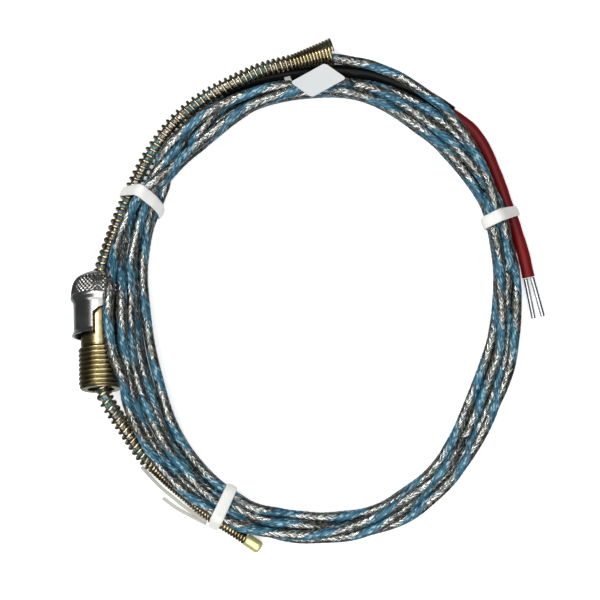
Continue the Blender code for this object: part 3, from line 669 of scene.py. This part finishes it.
def spring_shape(distance):
    """Coil radius and pitch at a distance along the spring."""
    tail_start = SPRING_LINE.total - TAIL_LENGTH
    flare = min(1.0, distance / FLARE_LENGTH)
    tail = min(1.0, max(0.0, (distance - tail_start) / 3.0))
    radius = FLARE_RADIUS + (OPEN_RADIUS - FLARE_RADIUS) * flare ** 0.8
    radius += (TAIL_RADIUS - OPEN_RADIUS) * tail
    past = max(0.0, distance - FLARE_LENGTH)
    opening = min(1.0, past / 2.0) * (0.5 + 0.5 * min(1.0, past / OPENING_LENGTH)) - tail
    return radius, CLOSE_PITCH + (OPEN_PITCH - CLOSE_PITCH) * max(0.0, opening)


def make_spring():
    """One round wire: close wound in the flare and the tail, and open between them."""
    distances, radii = [], []
    distance = WIRE_RADIUS
    while distance < SPRING_LINE.total - WIRE_RADIUS:
        radius, pitch = spring_shape(distance)
        distances.append(distance)
        radii.append(radius)
        distance += pitch / TURN_STEPS
    points, _, upper, side = SPRING_LINE.at(np.array(distances))
    turn = np.arange(len(distances)) * 2 * pi / TURN_STEPS
    outward = np.cos(turn)[:, None] * upper + np.sin(turn)[:, None] * side
    wire = points + np.array(radii)[:, None] * outward
    forward = unit(np.gradient(wire, axis=0))
    outward = unit(outward - np.sum(outward * forward, axis=1)[:, None] * forward)
    rings = rings_round(wire, outward, np.cross(forward, outward), WIRE_RADIUS, WIRE_SIDES)
    spring = skin("spring_wire", rings, SPRING_STEEL, "probe", sharp=180.0)
    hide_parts("armour_spring")
    return spring


def make_probe_lead():
    """The braided lead where it runs inside the spring, thinner in the close-wound tail."""
    tail_start = SPRING_LINE.total - TAIL_LENGTH
    distances = np.arange(9.0, SPRING_LINE.total - 0.3, 0.7)
    points, _, upper, side = SPRING_LINE.at(distances)
    share = np.clip((distances - tail_start + 4.0) / 4.0, 0, 1)
    outer = HELD_IN_OPEN + (HELD_IN_TAIL - HELD_IN_OPEN) * share
    relief = braid_relief((np.arange(LEAD_SIDES) / LEAD_SIDES)[None, :], (distances / BRAID_LAY)[:, None])
    radii = outer[:, None] - 0.1 * (1 - relief)
    lead = skin("lead_in_spring", rings_round(points, upper, side, radii, LEAD_SIDES), SHADED_INNER_BRAID, "probe",
                along=distances / BRAID_LAY, sharp=180.0)
    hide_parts("probe_lead")


make_spring()
make_probe_lead()


# ---- turned pieces ----
def lathe(name, profile, start, axis, material, body, sides, relief=None, closed=True, sharp=35.0):
    """A turned piece from an outline of (distance along the axis, radius).

    relief(along, turn, radius) changes the radius where the surface is cut.
    """
    across = unit(UP - axis[2] * axis)
    side = np.cross(axis, across)
    profile = np.array(profile, float)
    turn = np.arange(sides) * 2 * pi / sides
    radii = np.broadcast_to(profile[:, 1:2], (len(profile), sides)).copy()
    if relief:
        radii = relief(profile[:, 0:1], turn[None, :], radii)
    middles = start + profile[:, 0:1] * axis
    count = len(profile)
    rings = rings_round(middles, np.tile(across, (count, 1)), np.tile(side, (count, 1)), radii, sides)
    steps = np.linalg.norm(np.diff(profile, axis=0), axis=1)
    along = np.concatenate(((0.0,), np.cumsum(steps)))
    return skin(name, rings, material, body, along=along, loop=closed, sharp=sharp)


def rounded(profile, step):
    """The same outline with points no further apart than step."""
    out = [profile[0]]
    for (a0, r0), (a1, r1) in zip(profile, profile[1:]):
        pieces = max(1, ceil(max(abs(a1 - a0), abs(r1 - r0)) / step))
        out += [(a0 + (a1 - a0) * k / pieces, r0 + (r1 - r0) * k / pieces) for k in range(1, pieces + 1)]
    return out


KNURLS = 40
KNURL_DEPTH = 0.4


def knurl(along, turn, radius):
    """Crossed knurling round the cap's head, as diamond points."""
    outer = radius > SKIRT_INNER + 0.01
    spacing = 2 * pi * CAP_ROUND / KNURLS
    phase = KNURLS * turn / (2 * pi)
    ridges = []
    for lean in (1, -1):
        place = phase + lean * along / spacing
        ridges.append(1 - np.abs(2 * (place - np.floor(place)) - 1))
    height = np.minimum(*ridges)
    fade = np.clip((along - 1.6) / 0.8, 0, 1) * np.clip((8.0 - along) / 0.3, 0, 1)
    return np.where(outer, radius - KNURL_DEPTH * (1 - height ** 0.8) * fade, radius)


PIN_RADIUS = 1.4
PIN_ANGLE = 76.0             # latched, from the upper side of the axis
PIN_HEIGHT = 8.2             # latched, above the cap's mouth
UNLATCH_ANGLE, UNLATCH_DROP = 75.0, 2.3
SLOT_HALF = 2.0              # half width of the ramp round the pin
SLOT_ENTRY = (-12.0, 14.5)   # sides of the entry notch, in degrees
SLOT_RADII = (6.7, 9.8)      # where the slot's cutter starts and ends
ENTRY_LOW, ENTRY_HIGH = 6.5, 8.6            # the entry notch's sloped top, above the mouth


def slot_edges(angle):
    """Lower and upper edge of the bayonet slot, above the cap's mouth, at an angle."""
    start, entry_end = SLOT_ENTRY
    ramp = (angle - (PIN_ANGLE - UNLATCH_ANGLE)) / UNLATCH_ANGLE
    middle = PIN_HEIGHT - UNLATCH_DROP * (1.0 - ramp)
    beyond = (angle - PIN_ANGLE) / degrees(asin(SLOT_HALF / SKIRT_OUTER))
    half = SLOT_HALF * max(0.04, 1.0 - max(0.0, beyond) ** 2) ** 0.5
    upper = min(middle, PIN_HEIGHT) + half
    lift = (angle - start) / 20.0
    if lift < 1.0:
        upper = ENTRY_LOW + (max(upper, ENTRY_HIGH) - ENTRY_LOW) * max(0.0, lift)
    lower = -0.6 if angle <= entry_end else min(middle, PIN_HEIGHT) - half
    return lower, upper


def slot_cutter(name, turned_by):
    """A curved block in the shape of one bayonet slot."""
    start, entry_end = SLOT_ENTRY
    last = PIN_ANGLE + degrees(asin(SLOT_HALF / SKIRT_OUTER))
    ramp_start = entry_end + 0.2
    angles = [start, -6.0, 1.0, 8.0, entry_end, ramp_start]
    angles += [ramp_start + (PIN_ANGLE - ramp_start) * (i + 1) / 14 for i in range(14)]
    angles += [PIN_ANGLE + (last - PIN_ANGLE) * share for share in (0.3, 0.5, 0.7, 0.85, 0.95, 1.0)]
    near, far = SLOT_RADII
    rings = []
    for angle in angles:
        lower, upper = slot_edges(angle)
        rings.append([on_fitting(CAP_LENGTH - height, angle + turned_by, radius)
                      for radius, height in ((near, lower), (near, upper), (far, upper), (far, lower))])
    rings = np.array(rings)
    mesh = bpy.data.meshes.new(name)
    count = len(rings)
    faces = [(4 * i + j, 4 * i + (j + 1) % 4, 4 * i + 4 + (j + 1) % 4, 4 * i + 4 + j)
             for i in range(count - 1) for j in range(4)]
    faces += [(3, 2, 1, 0), tuple(range(4 * count - 4, 4 * count))]
    mesh.from_pydata((rings.reshape(-1, 3) * MM).tolist(), [], faces)
    return mesh


def make_cap():
    """The knurled cap, with its two bayonet slots cut through the skirt."""
    lip = CAP_LENGTH - 1.5
    profile = [(0.0, CAP_BORE), (0.1, 3.8), (0.3, 4.4), (0.55, 5.0), (0.8, 5.5), (1.1, 6.1), (1.5, 6.8),
               (2.0, 7.4), (2.6, 7.95), (3.2, 8.35), (3.9, 8.65), (5.0, 8.95), (6.2, 9.15), (7.6, 9.32),
               (8.6, CAP_ROUND), (8.9, 9.25), (9.3, 8.98), (9.9, 8.62), (10.6, SKIRT_OUTER),
               (lip, SKIRT_OUTER), (lip + 0.4, 8.52), (lip + 0.8, 8.75), (lip + 1.2, 8.95),
               (lip + 1.42, MOUTH_OUTER), (CAP_LENGTH, 8.88), (CAP_LENGTH, 8.35), (lip + 1.2, 8.1),
               (lip + 0.7, 7.75), (lip + 0.3, SKIRT_INNER), (CAP_WALL, SKIRT_INNER), (CAP_WALL, CAP_BORE)]
    cap = lathe("cap_shell", rounded(profile, 0.18), AXIS_START, AXIS, NICKEL, "cap", KNURLS * 8, knurl)
    for turned_by in (0.0, 180.0):
        name = f"slot_cutter_{int(turned_by)}"
        cutter = bpy.data.objects.new(name, slot_cutter(name, turned_by))
        bpy.context.collection.objects.link(cutter)
        cutter.hide_render = True
        boolean = cap.modifiers.new(name, "BOOLEAN")
        boolean.operation = "DIFFERENCE"
        boolean.object = cutter
    evaluated = cap.evaluated_get(bpy.context.evaluated_depsgraph_get())
    mesh = bpy.data.meshes.new_from_object(evaluated)
    cap.modifiers.clear()
    cap.data = mesh
    for turned_by in (0, 180):
        bpy.data.objects.remove(bpy.data.objects[f"slot_cutter_{turned_by}"])
    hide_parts("bayonet_cap")


THREAD_PITCH = 1.5
THREAD_DEPTH = 0.6
THREAD_RADIUS = 7.0
UNDERCUT = 5.9               # radius of the groove where the thread starts


def thread(along, turn, radius):
    """An M14 thread, running out at both ends."""
    outer = radius > UNDERCUT
    place = (along - THREAD_START) / THREAD_PITCH - turn / (2 * pi)
    wave = 1 - np.abs(2 * (place - np.floor(place)) - 1)
    cut = THREAD_DEPTH * np.clip(1.15 - 1.5 * wave, 0, 1)
    fade = np.clip((along - THREAD_START) / 0.8, 0, 1) * np.clip((AXIS_LENGTH + 0.3 - along) / 1.0, 0.2, 1)
    return np.where(outer & (along > THREAD_START), radius - cut * fade, radius)


def make_adapter():
    """The brass stem with its helical thread and a plain bore."""
    stem, bore, start = 6.2, 4.3, 8.0
    profile = [(start, bore), (start, stem - 0.4), (start + 0.4, stem), (THREAD_START - 0.6, stem),
               (THREAD_START - 0.5, UNDERCUT), (THREAD_START - 0.1, UNDERCUT),
               (THREAD_START + 0.5, THREAD_RADIUS),
               (AXIS_LENGTH - 0.9, THREAD_RADIUS), (AXIS_LENGTH, 6.3), (AXIS_LENGTH, bore)]
    adapter = lathe("adapter_body", rounded(profile, 0.15), AXIS_START, AXIS, BRASS, "adapter", 120, thread,
                    sharp=60.0)
    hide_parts("bayonet_adapter")


def make_pin(name, node, angle):
    """A bayonet pin with a rounded end."""
    outward = on_fitting(0.0, angle, 1.0) - on_fitting(0.0, angle, 0.0)
    start = on_fitting(CAP_LENGTH - PIN_HEIGHT, angle, 0.0)
    profile = [(4.7, 0.02), (4.7, PIN_RADIUS), (7.6, PIN_RADIUS), (7.8, 1.34), (8.0, 1.15), (8.1, 0.9),
               (8.14, 0.4), (8.15, 0.02)]
    pin = lathe(name, profile, start, outward, STAINLESS, "adapter", 32, closed=False)
    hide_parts(node)


def make_tip():
    """The closed brass cup, pressed on the spring's end."""
    points, tangents, _, _ = SPRING_LINE.at(SPRING_LINE.total)
    start = points[0] + 0.3 * tangents[0]
    profile = [(-0.55, 1.72), (-0.55, 2.0), (-0.45, 2.08), (0.0, 2.1), (3.7, 2.1), (4.1, 2.06),
               (4.4, 1.95), (4.65, 1.8), (4.85, 1.55), (4.97, 1.2), (5.0, 0.8), (5.0, 0.02),
               (3.7, 0.02), (3.7, 1.45), (0.0, 1.72)]
    tip = lathe("tip_cup", rounded(profile, 0.3), start, tangents[0], TIP_BRASS, "probe", 48)
    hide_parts("measuring_tip")


make_cap()
make_adapter()
make_pin("pin_inner", "bayonet_pin_inner", PIN_ANGLE)
make_pin("pin_outer", "bayonet_pin_outer", PIN_ANGLE + 180.0)
make_tip()


# ---- sleeves and wire ends ----
RIPPLE = 0.03


def make_sleeve(name, node, start, end, outer, inner, material, waves, flat, facing):
    """A thin-walled tube along the sleeve route, open at both ends and a little flattened.

    waves are the lengths of its ripples, flat is how much it is flattened, and facing is
    the direction of the flat side, in degrees from the top.
    """
    count = ceil((end - start) / 0.8)
    distances = np.linspace(start, end, count)
    points, _, upper, side = SLEEVE_LINE.at(distances)
    turn = np.arange(32) * 2 * pi / 32
    rng = np.random.default_rng(len(name))
    ripple = np.zeros(count)
    for length in waves:
        ripple += RIPPLE * np.sin(distances * 2 * pi / length + rng.uniform(0, 2 * pi))
    swell = 1.0 - flat * np.cos(2 * (turn - radians(facing)))[None, :]
    skins = []
    for radius, order in ((outer, 1), (inner, -1)):
        radii = (radius + ripple)[:, None] * swell
        skins.append(rings_round(points, upper, side, radii, 32)[::order])
    outside, inside = skins
    lip = 0.5 * (outside[-1] + inside[0])
    foot = 0.5 * (outside[0] + inside[-1])
    rings = np.concatenate((outside, [lip], inside, [foot]))
    piece = skin(name, rings, material, "probe", loop=True, sharp=60.0)
    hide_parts(node)
    return piece


FERRULE_LENGTH = 13.0
FERRULE_OFFSET, FERRULE_GAP = 1.05, 0.35    # from the sleeve's middle line and its end


def make_ferrule(name, node, sign, splay):
    """A crimped wire-end ferrule: a thin bright tube, pinched in two places."""
    points, tangents, _, _ = SLEEVE_LINE.at(SLEEVE_LINE.total)
    end, ahead = points[0], tangents[0]
    flat = unit(np.array((ahead[1], -ahead[0], 0.0)))
    aim = unit(ahead + sign * splay * flat - 0.03 * UP)
    start = end + sign * FERRULE_OFFSET * flat + FERRULE_GAP * ahead
    profile = [(0.0, 0.6), (0.0, 0.72), (0.1, 0.78), (0.3, 0.76), (2.6, 0.75), (2.9, 0.7), (3.2, 0.75),
               (6.2, 0.75), (6.5, 0.69), (6.9, 0.69), (7.2, 0.75), (12.5, 0.75), (12.8, 0.72),
               (FERRULE_LENGTH, 0.66), (FERRULE_LENGTH, 0.5), (12.6, 0.55), (0.3, 0.58)]
    ferrule = lathe(name, rounded(profile, 0.5), start, aim, TINNED, "probe", 28)
    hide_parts(node)
    return ferrule


BLACK_SLEEVE = make_sleeve(
    "sleeve_black", "black_sleeve", BLACK_START, BLACK_END, BLACK_OUTER, BLACK_INNER, BLACK_TUBE,
    (17.0, 29.0, 7.3), 0.09, 35.0)
RED_SLEEVE = make_sleeve(
    "sleeve_red", "red_sleeve", BLACK_END + SLEEVE_JOINT, SLEEVE_LINE.total, RED_OUTER, RED_INNER, RED_TUBE,
    (11.0, 23.0, 5.7), 0.05, 10.0)
FERRULES = [make_ferrule("ferrule_a", "ferrule_positive", 1, 0.012),
            make_ferrule("ferrule_b", "ferrule_negative", -1, 0.056)]

# ---- ties ----
TIE_WIDTH = 4.0
TIE_NARROWING = 0.26         # how much narrower the band is at the table


def circle_points(reach, height, radius, count=40):
    """Points on a round section."""
    turn = np.arange(count) * 2 * pi / count
    return np.stack((reach + radius * np.cos(turn), height + radius * np.sin(turn)), axis=1)


def convex_outline(points):
    """The tight outline round a set of flat points, counter-clockwise."""
    points = sorted(map(tuple, np.round(points, 6)))
    halves = []
    for ordered in (points, points[::-1]):
        half = []
        for p in ordered:
            while len(half) >= 2:
                (x0, y0), (x1, y1) = half[-2:]
                if (x1 - x0) * (p[1] - y0) - (y1 - y0) * (p[0] - x0) > 0:
                    break
                half.pop()
            half.append(p)
        halves += half[:-1]
    return np.array(halves)


def even_loop(outline, count):
    """The same closed outline with evenly spaced points."""
    closed = np.vstack((outline, outline[:1]))
    lengths = np.concatenate(((0.0,), np.cumsum(np.linalg.norm(np.diff(closed, axis=0), axis=1))))
    where = np.linspace(0.0, lengths[-1], count, endpoint=False)
    return np.stack([np.interp(where, lengths, closed[:, k]) for k in range(2)], axis=1)


def make_tie(name, clock, lean):
    """A soft-edged plastic band drawn tight round everything that passes under it."""
    near = np.abs(np.mod(COIL_CLOCK - clock + 180.0, 360.0) - 180.0) < 1.1 * STATION_STEP
    circles = [circle_points(r, z, LEAD_DIAMETER / 2 + 0.05)
               for r, z in zip(COIL_REACH[near], COIL_HEIGHT[near])]
    for line, radius in ((SPRING_LINE.points, 2.5), (SLEEVE_LINE.points, 2.2)):
        reach, height, size = section_reader(line, np.full(len(line), radius))(np.array([clock]))
        if size[0] > 0:
            circles.append(circle_points(reach[0], height[0], size[0]))
    outline = even_loop(convex_outline(np.vstack(circles)), 120)
    ahead = np.roll(outline, -1, axis=0) - np.roll(outline, 1, axis=0)
    outward = unit(np.stack((ahead[:, 1], -ahead[:, 0]), axis=1))
    one_side = [(0.0, -0.96), (0.2, -1.0), (0.36, -0.98), (0.5, -0.9), (0.6, -0.74), (0.66, -0.5),
                (0.69, -0.25)]
    section = one_side + [(TIE_THICKNESS, 0.0)] + [(thick, -share) for thick, share in one_side[::-1]]
    away = np.array((cos(radians(clock)), sin(radians(clock)), 0.0))
    along = np.array((-away[1], away[0], 0.0))
    top = outline[:, 1].max()
    rings = []
    for (r, z), (nr, nz) in zip(outline, outward):
        ring = []
        for thick, share in section:
            rr = r + (0.08 + thick) * nr
            zz = max(0.03 + 0.1 * thick, z + (0.08 + thick) * nz)
            half = TIE_WIDTH / 2 * (1.0 - TIE_NARROWING + TIE_NARROWING * min(1.0, zz / top))
            ring.append(HOOP_CENTRE + rr * away + zz * UP + (share * half - lean * zz / top) * along)
        rings.append(ring)
    tie = skin(name + "_band", np.array(rings), WHITE_PLASTIC, "probe", loop=True, sharp=50.0)
    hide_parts(name)
    return tie


def make_strip(name, points, width, thickness, material, slot):
    """A flat strip along a smooth line."""
    line = Line(from_hoop(points))
    middle, _, upper, side = line.at(np.linspace(0.0, line.total, 40))
    section = [(-0.5, -0.3), (-0.44, -0.5), (0.44, -0.5), (0.5, -0.3), (0.5, 0.3), (0.44, 0.5), (-0.44, 0.5),
               (-0.5, 0.3)]
    rings = np.stack([middle + width * w * side + thickness * h * upper for w, h in section], axis=1)
    strip = skin(name, rings, material, "probe", sharp=60.0)
    return strip


TIES = [make_tie(name, *place) for name, place in TIE_PLACES.items()]
# the bottom tie's two ends, left long
TAIL_SIZE = (1.1, 0.6)
TAIL_ROUTES = {
    "tie_tail_long": [(-56.8, -53.0, 2.2), (-51.3, -58.8, 3.0), (-46.0, -63.2, 3.4), (-41.7, -66.6, 3.4),
                      (-36.0, -70.7, 2.8)],
    "tie_tail_short": [(-50.0, -63.1, 1.2), (-44.8, -66.8, 1.4), (-36.0, -71.4, 1.8)]}
TAILS = [make_strip(name, route, *TAIL_SIZE, SHADED_TAIL_PLASTIC, "white_plastic")
         for name, route in TAIL_ROUTES.items()]

# ---- label ----
LABEL_CORNER = np.array((-2.07, 64.9, 10.3))
LABEL_LONG = np.array((11.0, 6.05, 0.0))
LABEL_SHORT = np.array((-6.85, 4.8, 0.0))
LABEL_THICKNESS = 0.22
LABEL_ROUND = 1.0            # radius of its corners


def lead_top(x, y):
    """Height of the turns' upper side at a place, or 0 beside them."""
    away = np.hypot(LEAD_PATH[:, 0] - x, LEAD_PATH[:, 1] - y)
    under = away < LEAD_DIAMETER / 2
    if not under.any():
        return 0.0
    return float(np.max(LEAD_PATH[under, 2] + np.sqrt((LEAD_DIAMETER / 2) ** 2 - away[under] ** 2)))


def make_label():
    """A blank folded flag, resting on the turns."""
    corner = HOOP_CENTRE + LABEL_CORNER
    rows, columns = 60, 14
    long, short = np.linalg.norm(LABEL_LONG), np.linalg.norm(LABEL_SHORT)
    height = 0.0
    for p in np.linspace(0, 1, 9):
        for q in np.linspace(0, 1, 7):
            spot = corner + p * LABEL_LONG + q * LABEL_SHORT
            height = max(height, lead_top(spot[0], spot[1]))
    rings = []
    for p in np.linspace(0, 1, rows):
        upper_side, lower_side = [], []
        into = LABEL_ROUND - min(LABEL_ROUND, long * min(p, 1 - p))
        inset = (LABEL_ROUND - (LABEL_ROUND ** 2 - into ** 2) ** 0.5) / short
        for q in np.linspace(inset, 1 - inset, columns):
            spot = corner + p * LABEL_LONG + q * LABEL_SHORT
            spot[2] = max(height, 10.3) + 0.25 + 0.9 * (q - 0.35) ** 2 + 0.5 * p * p
            upper_side.append(spot + LABEL_THICKNESS * UP)
            lower_side.append(spot)
        rings.append(lower_side + upper_side[::-1])
    label = skin("flag", np.array(rings), PAPER, "probe", sharp=40.0)
    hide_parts("label_flag")
    return label


LABEL = make_label()
WRAP_ROUTE = [(-9.9, 72.0, 6.6), (-9.5, 70.6, 8.6), (-9.0, 69.2, 9.2), (-8.6, 67.8, 8.6), (-8.2, 66.6, 6.6)]
WRAP_WIDTH = 2.0
LABEL_WRAP = make_strip("flag_wrap", WRAP_ROUTE, WRAP_WIDTH, LABEL_THICKNESS, PAPER, "paper")

# ---- CAD nodes that stay ----
BARE_METAL = ("wire_positive", "wire_negative", "hot_junction", "core_positive", "core_negative")
for node in (*BARE_METAL, "leg_positive", "leg_negative"):
    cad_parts[node].data.materials.clear()
    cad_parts[node].data.materials.append(STAINLESS if node in BARE_METAL else GLASS_YARN)


# ---- studio ----
def make_floor():
    """A plain white table top."""
    size = 1.5
    mesh = bpy.data.meshes.new("floor")
    corners = [(-size, -size, 0), (size, -size, 0), (size, size, 0), (-size, size, 0)]
    mesh.from_pydata(corners, [], [(0, 1, 2, 3)])
    s = Shades("floor", roughness=0.9)
    s.colour((0.92, 0.92, 0.92))
    s.shader.inputs["Emission Color"].default_value = (1.0, 1.0, 1.0, 1.0)
    s.shader.inputs["Emission Strength"].default_value = 0.5
    mesh.materials.append(s.made)
    floor = bpy.data.objects.new("floor", mesh)
    floor.location = (0.03, 0.0, -0.0005)
    floor.visible_glossy = False
    bpy.context.collection.objects.link(floor)


def make_light(name, place, target, size, power, tint=(1.0, 1.0, 1.0)):
    """A soft rectangular light that points at the target."""
    data = bpy.data.lights.new(name, "AREA")
    data.shape = "SQUARE"
    data.size = size
    data.energy = power
    data.color = tint
    light = bpy.data.objects.new(name, data)
    light.location = place
    light.rotation_mode = "QUATERNION"
    light.rotation_quaternion = (Vector(place) - Vector(target)).to_track_quat("Z", "Y")
    bpy.context.collection.objects.link(light)


def make_world():
    """A dim grey room, with the bright table top below."""
    world = bpy.data.worlds.new("room")
    world.use_nodes = True
    nodes, links = world.node_tree.nodes, world.node_tree.links
    background = nodes["Background"]
    background.inputs["Color"].default_value = (0.9, 0.95, 1.0, 1.0)
    split = nodes.new("ShaderNodeSeparateXYZ")
    links.new(nodes.new("ShaderNodeTexCoord").outputs["Generated"], split.inputs[0])
    below = nodes.new("ShaderNodeMapRange")
    table, room = 0.6, 0.08
    for socket, value in zip(below.inputs[1:], (-0.85, -0.6, table, room)):
        socket.default_value = value
    links.new(split.outputs[2], below.inputs[0])
    links.new(below.outputs[0], background.inputs["Strength"])
    bpy.context.scene.world = world


make_floor()
make_light("overhead", (-0.15, 0.05, 1.2), (0.03, 0.0, 0.0), 1.7, 15.0)
make_light("key", (-0.35, 0.45, 0.9), (0.0, 0.0, 0.0), 0.25, 2.5)
make_light("front", (0.03, -0.45, 0.5), (0.03, 0.0, 0.0), 0.5, 1.8)
make_world()
bpy.context.scene.view_settings.view_transform = "Standard"
